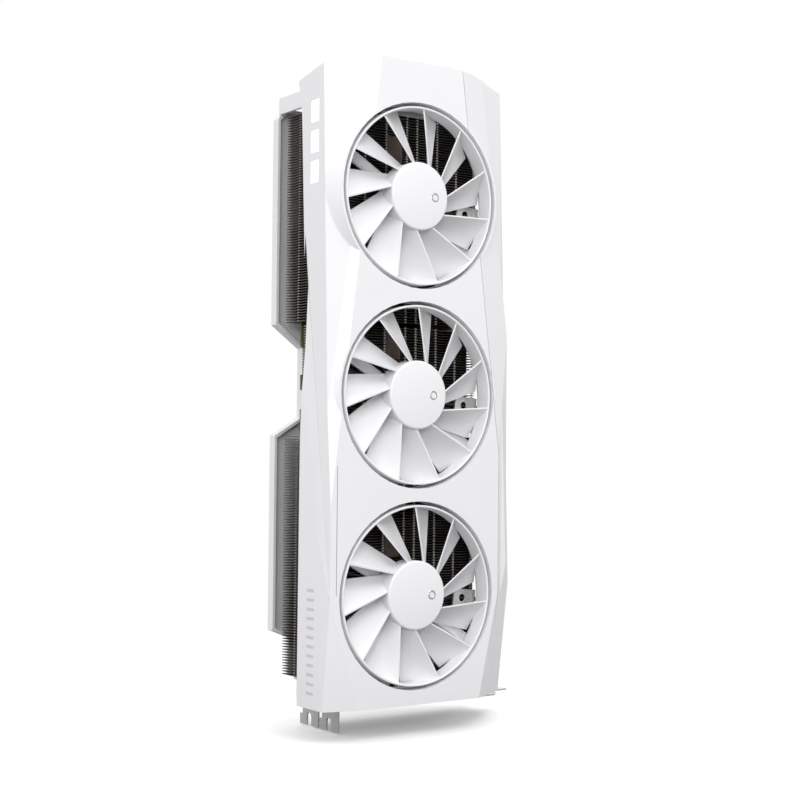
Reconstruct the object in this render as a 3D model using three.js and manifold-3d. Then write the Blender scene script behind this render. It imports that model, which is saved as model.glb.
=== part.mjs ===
// A triple-fan graphics card, modelled as it comes apart on a bench.
// Units are millimetres. +Z runs along the card from the I/O bracket to the tail, -Y is the fan side,
// +Y the backplate side, -X the top edge with the power sockets and +X the slot-connector edge.
// The origin is on the outer face of the I/O bracket, level with the component side of the circuit
// board (y = 0) and in the plane of the fan axes (x = 0).
import * as THREE from 'three';
import { mergeVertices } from 'three/addons/utils/BufferGeometryUtils.js';
import { ConvexGeometry } from 'three/addons/geometries/ConvexGeometry.js';
import Module from 'manifold-3d';

const wasm = await Module();
wasm.setup();

// ---------------------------------------------------------------- driving dimensions
const GAP = 0.3;                   // clearance between neighbouring pieces
const DEGREE = Math.PI / 180;

// shroud
const SHROUD_Z0 = 5.2;
const SHROUD_Z1 = 355;
const FRONT_Y = -64;               // front face of the raised centre panel
const STEP_Y = -61.5;              // the facets start this deep
const LEFT_X = -57;
const RIGHT_X = 68.5;
const WALL = 2.2;
const END_WALL_BRACKET_Y = -38;    // the end wall beside the bracket reaches back to here

// fans
const FAN_Z = [64, 173, 282];
const FAN_NAMES = ['1', '2', '3'];
const OPENING_R = 51.1;
const DUCT_R = 52.9;
const DUCT_BACK_Y = -49.2;
const BLADES = 11;
const BLADE_SWEEP = 19.6;          // degrees from root to tip along a blade's front edge
const BLADE_CHORD = { root: 29, tip: 21 };   // degrees a blade covers about the axis
const BLADE_BACK_Y = { root: -51.8, tip: -50.6 };
const RING_R = 49.25;
const RING_INNER_R = 48.05;
const RING_BACK_Y = -54;
const HUB_R = 19.15;
const HUB_INNER_R = 17.4;
const HUB_FRONT_Y = -62.9;
const HUB_BACK_Y = -51.3;
const SHAFT_R = 1.5;
const BEARING_R = 3.2;
const MOUNT_FRONT_Y = -49;
const MOUNT_BACK_Y = -46.8;
const ARM_ANGLES = [150, 240, 328];

// cooler
const FIN_FRONT_Y = -44;
const FIN_BACK_Y = -10.4;
const FIN_LEFT_X = -47.5;
const FIN_RIGHT_X = 53;
const FIN_PITCH = 4.7;
const FIN_THICK = 0.8;
const FIN_WRAP_X = -39.5;          // outboard of this the fins reach back past the board
const FIN_WRAP_Y = -0.5;
const FIN_FOLD = 0.8;              // height of the folded edge that joins the fins
const SOCKET_CLEAR_X = -20;        // outboard of this the middle fins stay clear of the power sockets
const SOCKET_CLEAR_Y = -19;
const COLD_PLATE = { x0: -16, x1: 44, z0: 65, z1: 125, y0: -5.3, y1: -2.3 };

// circuit board
const BOARD_T = 1.6;
const BOARD_TOP_X = -36.5;
const BOARD_BOTTOM_X = 71.2;
const FINGER_X = 79.5;
const BOARD_Z0 = 1.6;
const BOARD_Z1 = 262;
const GPU = { x: 14, z: 95 };

// I/O bracket
const BRACKET_T = 1;
const FLANGE_X = -31.6;
const BRACKET_BOTTOM_X = 80.4;
const TONGUE_X = 88.9;
const TAB_LENGTH = 11.43;
const NOTCH_R = 2.3;               // half the width of a screw notch
const BRACKET_EARS = [-6, 62];     // ears that hold the bracket to the board
const EAR_Z = 8;
const SLOTS = [
  { y0: -15.2, y1: 3.8 },
  { y0: -35.5, y1: -16.5 },
];

// backplate
const BACKPLATE_FRONT_Y = 2.6;     // rim edge
const BACKPLATE_Y = 6.8;           // inner face of the plate
const BACKPLATE_T = 1.2;

// ---------------------------------------------------------------- materials
const COLOURS = {
  white: [0xf2f2f4, 0.38, 0],
  fanWhite: [0xf4f4f6, 0.42, 0],
  lens: [0xffffff, 0.2, 0],
  fin: [0x2b2522, 0.45, 0.8],
  copper: [0xb8896a, 0.35, 1],
  nickel: [0xb9b7b2, 0.3, 1],
  board: [0x20240f, 0.55, 0],
  chip: [0x1b1b1d, 0.5, 0],
  black: [0x161617, 0.5, 0],
  steel: [0xbcbcb8, 0.35, 0.9],
  magnet: [0x3a3a3c, 0.6, 0.2],
  wire: [0x2a2a2c, 0.5, 0],
};

const card = new THREE.Group();

function addPart(name, geometry, colour, parent = card) {
  const [hex, roughness, metalness] = COLOURS[colour];
  const material = new THREE.MeshStandardMaterial({ color: hex, roughness, metalness });
  const mesh = new THREE.Mesh(geometry, material);
  mesh.name = name;
  parent.add(mesh);
  return mesh;
}

// ---------------------------------------------------------------- solids
function solid(geometry) {
  const bare = geometry.clone();
  for (const attribute of Object.keys(bare.attributes)) {
    if (attribute !== 'position') {
      bare.deleteAttribute(attribute);
    }
  }
  const merged = mergeVertices(bare, 1e-4);
  return new wasm.Manifold(new wasm.Mesh({
    numProp: 3,
    vertProperties: Float32Array.from(merged.attributes.position.array),
    triVerts: Uint32Array.from(merged.index.array),
  }));
}

const MERGE = 0.004;               // edges shorter than this left by a cut are closed up

function geometryOf(manifold, merge = MERGE) {
  const mesh = manifold.setTolerance(merge).getMesh();
  const geometry = new THREE.BufferGeometry();
  geometry.setAttribute('position', new THREE.BufferAttribute(Float32Array.from(mesh.vertProperties), 3));
  geometry.setIndex(Array.from(mesh.triVerts));
  geometry.computeVertexNormals();
  return geometry;
}

function join(solids) {
  return solids.reduce((whole, piece) => whole.add(piece));
}

function box(x0, x1, y0, y1, z0, z1) {
  const geometry = new THREE.BoxGeometry(x1 - x0, y1 - y0, z1 - z0);
  return geometry.translate((x0 + x1) / 2, (y0 + y1) / 2, (z0 + z1) / 2);
}

function boxSolid(...limits) {
  return solid(box(...limits));
}

// a cylinder along Y
function discY(radius, y0, y1, x = 0, z = 0, sides = 48) {
  return new THREE.CylinderGeometry(radius, radius, y1 - y0, sides).translate(x, (y0 + y1) / 2, z);
}

// a closed ring about the Y axis with a rectangular section
function ringY(inner, outer, y0, y1, sides = 48) {
  const profile = [[inner, y0], [outer, y0], [outer, y1], [inner, y1], [inner, y0]];
  return new THREE.LatheGeometry(profile.map(([r, y]) => new THREE.Vector2(r, y)), sides);
}

// an outline in X and Z, given in order, filled between two heights of Y
function slabY(outline, y0, y1) {
  const shape = new THREE.Shape(outline.map(([x, z]) => new THREE.Vector2(x, z)));
  const geometry = new THREE.ExtrudeGeometry(shape, { depth: y1 - y0, bevelEnabled: false });
  return geometry.rotateX(Math.PI / 2).translate(0, y1, 0);
}

function point(x, y, z) {
  return new THREE.Vector3(x, y, z);
}

// takes away everything beyond the plane through three points, on the side away from `inside`
function cutPlane(body, [a, b, c], inside, inset = 0) {
  const plane = new THREE.Plane().setFromCoplanarPoints(point(...a), point(...b), point(...c));
  if (plane.distanceToPoint(inside) > 0) {
    plane.negate();
  }
  const size = 900;
  const block = new THREE.BoxGeometry(size, size, size).translate(0, 0, size / 2 - inset);
  block.applyQuaternion(new THREE.Quaternion().setFromUnitVectors(point(0, 0, 1), plane.normal));
  const foot = plane.projectPoint(inside, new THREE.Vector3());
  block.translate(foot.x, foot.y, foot.z);
  return body.subtract(solid(block));
}

function cutPlanes(body, planes, inset = 0) {
  const inside = point(0, -30, 170);
  return planes.reduce((rest, plane) => cutPlane(rest, plane, inside, inset), body);
}

// ---------------------------------------------------------------- shroud
const TAIL_PLANES = [
  [[-30, -64, 355], [-57, -64, 349], [-57, 0, 349]],       // left shoulder
  [[35, -64, 355], [68.5, -64, 351], [68.5, 0, 351]],      // right shoulder
  [[-57, -52.7, 349], [-57, -27.3, 343.8], [-30, -52.7, 355]],
];

const CORNER_PLANES = [
  [[-57, -64, 64], [-57, -57.6, 6], [-38.6, -64, 5.3]],    // lower left corner facet
  [[54.7, -64, 62], [42.3, -64, 6], [68.5, -48, 6]],       // lower right corner facet
];

const FACET_PLANES = [
  [[-32, -61.5, 349], [-57, -52.7, 349], [-54.4, -61.5, 142]],   // long left facet
  [[34.2, -61.5, 355], [58, -61.5, 172], [68.5, -46, 355]],      // long right facet
  [[68.5, -46, 355], [68.5, -53.7, 143], [58.5, -55.5, 355]],    // steeper edge of the right facet
];

const RISER_PLANES = [
  [[-27, -64, 355], [-56, -64, 120], [-30.7, -61.5, 355]],       // left side of the raised panel
  [[27, -64, 355], [54.9, -64, 140], [34.2, -61.5, 355]],        // right side of the raised panel
  [[55, -64, 0], [55, -64, 100], [59, -61.5, 0]],                // its straight lower right side
];

function facetedBlock(frontY, backY, planes, inset) {
  const block = boxSolid(LEFT_X + inset, RIGHT_X - inset, frontY + inset, backY, SHROUD_Z0 + inset,
    SHROUD_Z1 - inset);
  return cutPlanes(block, [...planes, ...CORNER_PLANES, ...TAIL_PLANES], inset);
}

// the raised lip that carries each fan opening up to the level of the front panel
function openingLip(z) {
  const lip = new THREE.CylinderGeometry(59, 52.3, 12, 48).translate(0, FRONT_Y + 6, z);
  return solid(lip);
}

// a folded groove running down the left wall: a narrow riser and a wide flank that tapers away
function wallGroove() {
  const depth = 3;
  const corners = [
    point(LEFT_X - 1, -37.6, 262), point(LEFT_X - 1, -30, 166), point(LEFT_X + depth, -31.5, 252),
    point(LEFT_X - 1, -65.2, 66), point(LEFT_X - 1, -64.2, 62), point(LEFT_X + 0.6, -62.6, 64),
  ];
  return solid(new ConvexGeometry(corners));
}

// the side walls end along this line at the back, from the bracket end to the tail
const WALL_BACK = [[-32, 0], [-32.5, 150], [-35, 196], [-35, 250], [-31, 326], [-27.3, 344], [-27.3, 400]];

function behindWalls() {
  const outline = [...WALL_BACK.map(([y, z]) => new THREE.Vector2(y, z)),
    new THREE.Vector2(80, 400), new THREE.Vector2(80, 0)];
  const geometry = new THREE.ExtrudeGeometry(new THREE.Shape(outline), { depth: 300, bevelEnabled: false });
  const turn = new THREE.Matrix4().makeBasis(point(0, 1, 0), point(0, 0, 1), point(1, 0, 0));
  return solid(geometry.applyMatrix4(turn).translate(-150, 0, 0));
}

const LIGHT_WINDOWS = [[318.5, 331], [302, 314.5], [285.5, 298]];
const LIGHT_Y = [-48.4, -40.2];

function makeShroud() {
  const outer = join([
    facetedBlock(STEP_Y, 0, FACET_PLANES, 0),
    facetedBlock(FRONT_Y, -57, RISER_PLANES, 0),
    ...FAN_Z.map(openingLip),
  ]);
  const walls = boxSolid(LEFT_X, RIGHT_X, FRONT_Y, 0, SHROUD_Z0, SHROUD_Z1);
  let body = cutPlanes(outer.intersect(walls), TAIL_PLANES);
  body = body.subtract(wallGroove());
  const hollow = facetedBlock(STEP_Y, 60, FACET_PLANES, WALL);
  body = body.subtract(hollow.subtract(grooveBacking()));
  body = body.subtract(behindWalls());
  body = body.subtract(boxSolid(LEFT_X + WALL, RIGHT_X - WALL, END_WALL_BRACKET_Y, 60, 0, 20));
  for (const z of FAN_Z) {
    body = body.add(solid(discY(DUCT_R, -60.5, DUCT_BACK_Y, 0, z)));
    body = body.subtract(solid(discY(OPENING_R, -80, -40, 0, z)));
  }
  for (const [z0, z1] of LIGHT_WINDOWS) {
    body = body.subtract(boxSolid(LEFT_X - 5, LEFT_X + 3, LIGHT_Y[0], LIGHT_Y[1], z0, z1));
  }
  addPart('shroud', geometryOf(body, 0.01), 'white');
}

// the wall keeps its thickness behind the groove
function grooveBacking() {
  const backing = wallGroove().intersect(boxSolid(LEFT_X, LEFT_X + 10, -70, 0, 0, 400));
  return backing.translate([WALL, 0, 0]).add(backing);
}

// light guide behind the left wall, with a lens filling each window
function makeLightGuide() {
  const inner = LEFT_X + WALL + GAP;
  const bar = boxSolid(inner, inner + 1.6, LIGHT_Y[0] - 0.2, LIGHT_Y[1] + 0.2, 284.5, 332);
  const lenses = LIGHT_WINDOWS.map(([z0, z1]) =>
    boxSolid(LEFT_X + 0.15, inner + 1, LIGHT_Y[0] + 0.2, LIGHT_Y[1] - 0.2, z0 + 0.2, z1 - 0.2));
  addPart('light_guide', geometryOf(join([bar, ...lenses])), 'lens');
  const boardX = inner + 1.6 + GAP;
  addPart('light_board', box(boardX, boardX + BOARD_T, LIGHT_Y[0] + 0.8, LIGHT_Y[1] - 0.8, 286, 331), 'board');
}

// ---------------------------------------------------------------- fans
// The straight edge of a blade, from the hub to the ring. Gives radius and angle at `across`, 0 to 1.
function bladeEdge(across, rootDegrees, tipDegrees) {
  const root = new THREE.Vector2(HUB_R - 0.9, 0).rotateAround(new THREE.Vector2(), rootDegrees * DEGREE);
  const tip = new THREE.Vector2(RING_R - 0.6, 0).rotateAround(new THREE.Vector2(), tipDegrees * DEGREE);
  const place = root.lerp(tip, across);
  return { radius: place.length(), angle: Math.atan2(place.y, place.x) };
}

// A blade is a thin curved plate. `across` runs 0 to 1 from root to tip, `along` from front to back edge.
function bladePoint(across, along, side) {
  const front = bladeEdge(across, 0, BLADE_SWEEP);
  const back = bladeEdge(across, -BLADE_CHORD.root, BLADE_SWEEP - BLADE_CHORD.tip);
  const radius = THREE.MathUtils.lerp(front.radius, back.radius, along);
  const angle = THREE.MathUtils.lerp(front.angle, back.angle, along);
  const frontY = THREE.MathUtils.lerp(HUB_FRONT_Y + 1.4, FRONT_Y + 1.1, across);
  const backY = THREE.MathUtils.lerp(BLADE_BACK_Y.root, BLADE_BACK_Y.tip, across);
  const rise = along + 0.22 * Math.sin(Math.PI * along);
  const y = THREE.MathUtils.lerp(frontY, backY, rise) + side * 0.55;
  return point(Math.cos(angle) * radius, y, Math.sin(angle) * radius);
}

function bladeGeometry(turn) {
  const rows = 3;
  const columns = 2;
  const positions = [];
  const index = [];
  const id = (face, i, j) => face * (rows + 1) * (columns + 1) + i * (columns + 1) + j;
  for (const side of [-1, 1]) {
    for (let i = 0; i <= rows; i += 1) {
      for (let j = 0; j <= columns; j += 1) {
        const corner = bladePoint(i / rows, j / columns, side).applyAxisAngle(point(0, 1, 0), turn);
        positions.push(corner.x, corner.y, corner.z);
      }
    }
  }
  const quad = (a, b, c, d) => index.push(a, c, b, a, d, c);
  for (let i = 0; i < rows; i += 1) {
    for (let j = 0; j < columns; j += 1) {
      quad(id(0, i, j), id(0, i + 1, j), id(0, i + 1, j + 1), id(0, i, j + 1));
      quad(id(1, i, j), id(1, i, j + 1), id(1, i + 1, j + 1), id(1, i + 1, j));
    }
    quad(id(0, i, 0), id(1, i, 0), id(1, i + 1, 0), id(0, i + 1, 0));
    quad(id(0, i, columns), id(0, i + 1, columns), id(1, i + 1, columns), id(1, i, columns));
  }
  for (let j = 0; j < columns; j += 1) {
    quad(id(0, 0, j), id(0, 0, j + 1), id(1, 0, j + 1), id(1, 0, j));
    quad(id(0, rows, j), id(1, rows, j), id(1, rows, j + 1), id(0, rows, j + 1));
  }
  const geometry = new THREE.BufferGeometry();
  geometry.setAttribute('position', new THREE.Float32BufferAttribute(positions, 3));
  geometry.setIndex(index);
  return geometry;
}

function makeRotor(name, parent) {
  const hubProfile = [
    [0, HUB_FRONT_Y - 0.9], [9, HUB_FRONT_Y - 0.7], [HUB_R - 1.5, HUB_FRONT_Y], [HUB_R, HUB_FRONT_Y + 1.2],
    [HUB_R, HUB_BACK_Y], [HUB_INNER_R, HUB_BACK_Y], [HUB_INNER_R, HUB_FRONT_Y + 2], [0, HUB_FRONT_Y + 2],
  ];
  const sides = BLADES * 3;
  const hub = new THREE.LatheGeometry(hubProfile.map(([r, y]) => new THREE.Vector2(r, y)), sides);
  let rotor = solid(hub).add(solid(ringY(RING_INNER_R, RING_R, FRONT_Y + 0.3, RING_BACK_Y, sides)));
  for (let n = 0; n < BLADES; n += 1) {
    rotor = rotor.add(solid(bladeGeometry((n + 0.21) * 2 * Math.PI / BLADES)));
  }
  addPart(name, geometryOf(rotor, 0.04), 'fanWhite', parent);
}

function makeFanMount(name, parent) {
  const pieces = [
    solid(discY(17.5, MOUNT_FRONT_Y, MOUNT_BACK_Y, 0, 0, 24)),
    solid(discY(BEARING_R + 1.4, -58.2, MOUNT_BACK_Y, 0, 0, 16)),
  ];
  for (const degrees of ARM_ANGLES) {
    const arm = new THREE.BoxGeometry(42, MOUNT_BACK_Y - MOUNT_FRONT_Y, 6.4)
      .translate(33, (MOUNT_FRONT_Y + MOUNT_BACK_Y) / 2, 0)
      .rotateY(-THREE.MathUtils.degToRad(degrees));
    pieces.push(solid(arm));
  }
  let mount = join(pieces);
  mount = mount.subtract(solid(discY(BEARING_R, -70, MOUNT_BACK_Y - 0.8, 0, 0, 16)));
  addPart(name, geometryOf(mount), 'white', parent);
}

function makeMotor(number, parent) {
  const stator = join([
    solid(ringY(BEARING_R + 1.4 + GAP, 9, -57.4, -52.2, 16)),
    ...[0, 60, 120].map((degrees) => {
      const poles = solid(box(-15, 15, -56.4, -53.2, -3, 3).rotateY(THREE.MathUtils.degToRad(degrees)));
      return poles.subtract(solid(discY(BEARING_R + 1.4 + GAP, -70, -40, 0, 0, 16)));
    }),
  ]);
  addPart(`stator_${number}`, geometryOf(stator), 'copper', parent);
  const bearing = ringY(SHAFT_R + 0.1, BEARING_R - 0.1, -57.8, -49.2, 16);
  addPart(`bearing_${number}`, bearing, 'nickel', parent);
}

function makeRotorFittings(number, parent) {
  addPart(`magnet_ring_${number}`, ringY(15.7, HUB_INNER_R - 0.3, -58.6, -52.4, 22), 'magnet', parent);
  addPart(`fan_shaft_${number}`, discY(SHAFT_R, HUB_FRONT_Y + 2, -49.6, 0, 0, 16), 'nickel', parent);
}

// each fan lead runs from the motor base past the end of the fins to a plug on the board
function makeFanLead(number, z, plugZ) {
  const route = [
    point(13, -45.7, z - 3), point(30, -45.7, z - 4), point(50, -45.7, z - 5), point(60.5, -45.6, z - 6),
    point(63.8, -42, z - 7), point(63.8, -32, z - 8), point(63.8, -20, (z + plugZ) / 2), point(63.8, -7, plugZ),
  ];
  const curve = new THREE.CatmullRomCurve3(route);
  const section = new THREE.Shape();
  section.absarc(0, 0, 0.8, 0, 2 * Math.PI, false);
  const lead = new THREE.ExtrudeGeometry(section, {
    steps: 16, extrudePath: curve, curveSegments: 3, bevelEnabled: false,
  });
  const plug = boxSolid(61, 66, -8, -0.1, plugZ - 4, plugZ + 4);
  addPart(`fan_lead_${number}`, geometryOf(solid(lead).add(plug)), 'wire');
}

const PLUG_Z = [50, 150, 246];

function makeFans() {
  FAN_Z.forEach((z, n) => {
    const number = FAN_NAMES[n];
    const place = new THREE.Group();
    place.position.z = z;
    card.add(place);
    makeRotor(`fan_rotor_${number}`, place);
    makeRotorFittings(number, place);
    makeFanMount(`fan_mount_${number}`, place);
    makeMotor(number, place);
    makeFanLead(number, z, PLUG_Z[n]);
  });
}

// ---------------------------------------------------------------- cooler
// A stack of plate fins, joined along the back by their folded edges. `leaf` is the stretch of every
// fin outboard of the comb, with its own depth.
function finStack(z0, z1, combX, leaf) {
  const outline = [[FIN_BACK_Y, z0]];
  const count = Math.floor((z1 - z0 - FIN_THICK) / FIN_PITCH);
  const leaves = [];
  for (let n = 0; n <= count; n += 1) {
    const z = z0 + n * FIN_PITCH;
    outline.push([FIN_FRONT_Y, z], [FIN_FRONT_Y, z + FIN_THICK]);
    if (n < count) {
      outline.push([FIN_BACK_Y - FIN_FOLD, z + FIN_THICK], [FIN_BACK_Y - FIN_FOLD, z + FIN_PITCH]);
    }
    leaves.push(boxSolid(FIN_LEFT_X, combX, FIN_FRONT_Y, leaf.backY, z, z + FIN_THICK));
  }
  outline.push([FIN_BACK_Y, z0 + count * FIN_PITCH + FIN_THICK]);
  const comb = combAlongX(outline, combX, FIN_RIGHT_X);
  return wasm.Manifold.union([comb, ...leaves]);
}

function combAlongX(outline, x0, x1) {
  const shape = new THREE.Shape(outline.map(([y, z]) => new THREE.Vector2(y, z)));
  const geometry = new THREE.ExtrudeGeometry(shape, { depth: x1 - x0, bevelEnabled: false });
  const turn = new THREE.Matrix4().makeBasis(point(0, 1, 0), point(0, 0, 1), point(1, 0, 0));
  return solid(geometry.applyMatrix4(turn).translate(x0, 0, 0));
}

function makeFins() {
  const wrap = { backY: FIN_WRAP_Y };
  const shallow = { backY: SOCKET_CLEAR_Y };
  addPart('fin_stack_bracket_end', geometryOf(finStack(17.7, 150.6, FIN_WRAP_X, wrap)), 'fin');
  addPart('fin_stack_middle', geometryOf(finStack(153.2, 211, SOCKET_CLEAR_X, shallow)), 'fin');
  addPart('fin_stack_tail', geometryOf(finStack(213.6, 329.5, FIN_WRAP_X, wrap)), 'fin');
}

// flattened pipes lie in the channel between the cold plate and the fins
function makeHeatPipes() {
  const startX = [-9, 5, 19, 33];
  const endX = [-14, 6, 27, 48];
  startX.forEach((x, n) => {
    const route = [
      point(x, -7.9, 27), point(x, -7.9, 80), point(x, -7.9, 130), point(endX[n], -7.9, 225),
      point(endX[n], -7.9, 322),
    ];
    const section = new THREE.Shape();
    section.absellipse(0, 0, 2.1, 4, 0, 2 * Math.PI, false, 0);
    const pipe = new THREE.ExtrudeGeometry(section, {
      steps: 12, extrudePath: new THREE.CatmullRomCurve3(route), curveSegments: 4, bevelEnabled: false,
    });
    addPart(`heat_pipe_${n + 1}`, pipe, 'copper');
  });
}

const CLAMP_SPACING = 25;          // half the distance between the clamp screws

function clampCorners() {
  return [[-1, -1], [1, -1], [1, 1], [-1, 1]].map(([sx, sz]) =>
    [GPU.x + sx * CLAMP_SPACING, GPU.z + sz * CLAMP_SPACING]);
}

function makeColdPlate() {
  const { x0, x1, y0, y1, z0, z1 } = COLD_PLATE;
  let plate = boxSolid(x0, x1, y0, y1, z0, z1);
  for (const [x, z] of clampCorners()) {
    plate = plate.subtract(solid(discY(1.6, y1 - 2, 20, x, z, 10)));
  }
  addPart('cold_plate', geometryOf(plate), 'nickel');
}

// ---------------------------------------------------------------- circuit board and what it carries
const BOARD_RECESS_X = BOARD_TOP_X + 3;   // the top edge steps in beside the power sockets
const BOARD_OUTLINE = [
  [BOARD_TOP_X, BOARD_Z0 + 2], [BOARD_TOP_X, 165.4], [BOARD_RECESS_X, 166], [BOARD_RECESS_X, 175.8],
  [BOARD_TOP_X, 176.4], [BOARD_TOP_X, 184.9], [BOARD_RECESS_X, 185.5], [BOARD_RECESS_X, 200.2],
  [BOARD_TOP_X, 200.8], [BOARD_TOP_X, BOARD_Z1], [BOARD_BOTTOM_X - 6, BOARD_Z1], [BOARD_BOTTOM_X, BOARD_Z1 - 6],
  [BOARD_BOTTOM_X, 137], [FINGER_X - 1, 137], [FINGER_X - 1, 134], [FINGER_X - 4, 134],
  [FINGER_X - 4, 130.7], [FINGER_X - 1, 130.7], [FINGER_X, 129.7],
  [FINGER_X, 58.95], [FINGER_X - 7.6, 58.95], [FINGER_X - 7.6, 57.05], [FINGER_X, 57.05],
  [FINGER_X, 46.2], [FINGER_X - 1, 45.2], [BOARD_BOTTOM_X, 45.2], [BOARD_BOTTOM_X, BOARD_Z0 + 12],
  [BOARD_BOTTOM_X - 6, BOARD_Z0 + 12], [BOARD_BOTTOM_X - 6, BOARD_Z0 + 2],
];

const MEMORY_PLACES = [[-25, 84], [-25, 106], [53, 84], [53, 106]];

function makeBoard() {
  let board = solid(slabY(BOARD_OUTLINE, 0, BOARD_T));
  const earHoles = BRACKET_EARS.map((x) => [x, EAR_Z]);
  for (const [x, z] of [...clampCorners(), ...earHoles]) {
    board = board.subtract(solid(discY(1.6, -5, 5, x, z, 10)));
  }
  addPart('circuit_board', geometryOf(board), 'board');
  addPart('graphics_chip', box(GPU.x - 17, GPU.x + 17, -2.1, 0, GPU.z - 17, GPU.z + 17), 'chip');
  MEMORY_PLACES.forEach(([x, z], n) => {
    addPart(`memory_chip_${n + 1}`, box(x - 6, x + 6, -1.2, 0, z - 7, z + 7), 'chip');
  });
}

// eight-way power sockets, open towards the top edge, with a pin in each cell
const SOCKET = { x0: -32.6, x1: -20.4, y0: -11.4, y1: -0.6, width: 18.9 };
const SOCKET_Z = [161.2, 180.7];
const CELL_PITCH = 4.2;
const CELL = 3.3;

function makePowerSocket(name, z0) {
  const { x0, x1, y0, y1, width } = SOCKET;
  let socket = boxSolid(x0, x1, y0, y1, z0, z0 + width);
  socket = socket.add(boxSolid(x0, x0 + 9, y0 - 1.8, y0, z0 + 7, z0 + width - 7));
  for (let row = 0; row < 2; row += 1) {
    for (let column = 0; column < 4; column += 1) {
      const y = (y0 + y1) / 2 + (row - 0.5) * CELL_PITCH;
      const z = z0 + width / 2 + (column - 1.5) * CELL_PITCH;
      const half = CELL / 2;
      socket = socket.subtract(boxSolid(x0 - 1, x0 + 9, y - half, y + half, z - half, z + half));
      socket = socket.add(boxSolid(x0 + 1.5, x0 + 10, y - 0.5, y + 0.5, z - 0.5, z + 0.5));
    }
  }
  addPart(name, geometryOf(socket), 'black');
}

function makePowerSockets() {
  SOCKET_Z.forEach((z0, n) => makePowerSocket(`power_socket_${n + 1}`, z0));
}

// ---------------------------------------------------------------- I/O bracket and its ports
const PORTS = [
  { name: 'hdmi_port', x: -13.5, wide: 15.2, high: 5.6 },
  { name: 'displayport_1', x: 13, wide: 16.6, high: 5.4 },
  { name: 'displayport_2', x: 34, wide: 16.6, high: 5.4 },
  { name: 'displayport_3', x: 55, wide: 16.6, high: 5.4 },
];
const PORT_Y = -4.2;               // middle of each port's mouth
const SHELL = 0.7;
const PORT_DEPTH = 17;
const VENTS = { x0: -24, x1: 68, pitch: 6.4, wide: 3.4, y0: -32, y1: -20 };

function makePort({ name, x, wide, high }) {
  const half = wide / 2;
  const low = PORT_Y - high / 2;
  const top = PORT_Y + high / 2;
  let port = boxSolid(x - half, x + half, low, top, -0.6, PORT_DEPTH);
  port = port.subtract(boxSolid(x - half + SHELL, x + half - SHELL, low + SHELL, top - SHELL, -5, 14));
  port = port.add(boxSolid(x - half + 2.2, x + half - 2.2, PORT_Y - 0.5, PORT_Y + 0.5, 1.5, 15));
  addPart(name, geometryOf(port), 'steel');
}

function makeBracket() {
  const plate = [[FLANGE_X - BRACKET_T, SLOTS[0].y1], [FLANGE_X - BRACKET_T, SLOTS[1].y0],
    [BRACKET_BOTTOM_X - 4, SLOTS[1].y0], [BRACKET_BOTTOM_X, SLOTS[1].y0 + 4],
    [BRACKET_BOTTOM_X, SLOTS[0].y1 - 4], [BRACKET_BOTTOM_X - 4, SLOTS[0].y1]];
  const shape = new THREE.Shape(plate.map(([x, y]) => new THREE.Vector2(x, y)));
  const sheet = new THREE.ExtrudeGeometry(shape, { depth: BRACKET_T, bevelEnabled: false });
  let bracket = solid(sheet);
  for (const { y0, y1 } of SLOTS) {
    const middle = (y0 + y1) / 2;
    // screw tab, bent away from the card, with its open notch and the step at its corner
    bracket = bracket.add(boxSolid(FLANGE_X - BRACKET_T, FLANGE_X, y0, y1, -TAB_LENGTH, BRACKET_T));
    bracket = bracket.subtract(boxSolid(-40, -20, middle - NOTCH_R, middle + NOTCH_R, -TAB_LENGTH - 5, -6.6));
    bracket = bracket.subtract(solid(new THREE.CylinderGeometry(NOTCH_R, NOTCH_R, 20, 20)
      .rotateZ(Math.PI / 2).translate(-30, middle, -6.6)));
    bracket = bracket.subtract(boxSolid(-40, -20, y1 - 2.6, y1 + 1, -5.6, -0.6));
    // tongue, stepped inwards so that it slips behind the case
    bracket = bracket.add(boxSolid(BRACKET_BOTTOM_X - 2, BRACKET_BOTTOM_X, middle - 5.1, middle + 5.1, 0, 2.6));
    bracket = bracket.add(boxSolid(BRACKET_BOTTOM_X - 2, TONGUE_X, middle - 5.1, middle + 5.1, 1.6, 2.6));
  }
  bracket = bracket.subtract(boxSolid(-45, -20, SLOTS[1].y1, SLOTS[0].y0, -20, -0.6));
  for (const { x, wide, high } of PORTS) {
    const half = wide / 2 + 0.2;
    const tall = high / 2 + 0.2;
    bracket = bracket.subtract(boxSolid(x - half, x + half, PORT_Y - tall, PORT_Y + tall, -5, 5));
  }
  for (let x = VENTS.x0; x <= VENTS.x1; x += VENTS.pitch) {
    bracket = bracket.subtract(boxSolid(x, x + VENTS.wide, VENTS.y0, VENTS.y1, -5, 5));
  }
  // two ears folded inwards hold the bracket to the board
  for (const x of BRACKET_EARS) {
    bracket = bracket.add(boxSolid(x - 4, x + 4, BOARD_T, BOARD_T + 1, 0, 12));
    bracket = bracket.subtract(solid(discY(1.6, -5, 8, x, EAR_Z, 16)));
  }
  addPart('io_bracket', geometryOf(bracket), 'steel');
}

function screwSolid(headRadius, headHeight, shankRadius, shankLength) {
  const profile = [
    [0, -shankLength], [shankRadius, -shankLength], [shankRadius, 0], [headRadius, 0],
    [headRadius, headHeight * 0.6], [headRadius * 0.7, headHeight], [0, headHeight],
  ];
  const screw = solid(new THREE.LatheGeometry(profile.map(([r, y]) => new THREE.Vector2(r, y)), 8));
  const slot = headRadius * 0.6;
  return screw.subtract(boxSolid(-slot, slot, headHeight * 0.5, headHeight + 1, -0.4, 0.4));
}

function addScrew(name, x, y, z, [headRadius, headHeight, shankRadius, shankLength]) {
  const screw = addPart(name, geometryOf(screwSolid(headRadius, headHeight, shankRadius, shankLength)), 'steel');
  screw.position.set(x, y, z);
}

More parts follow.
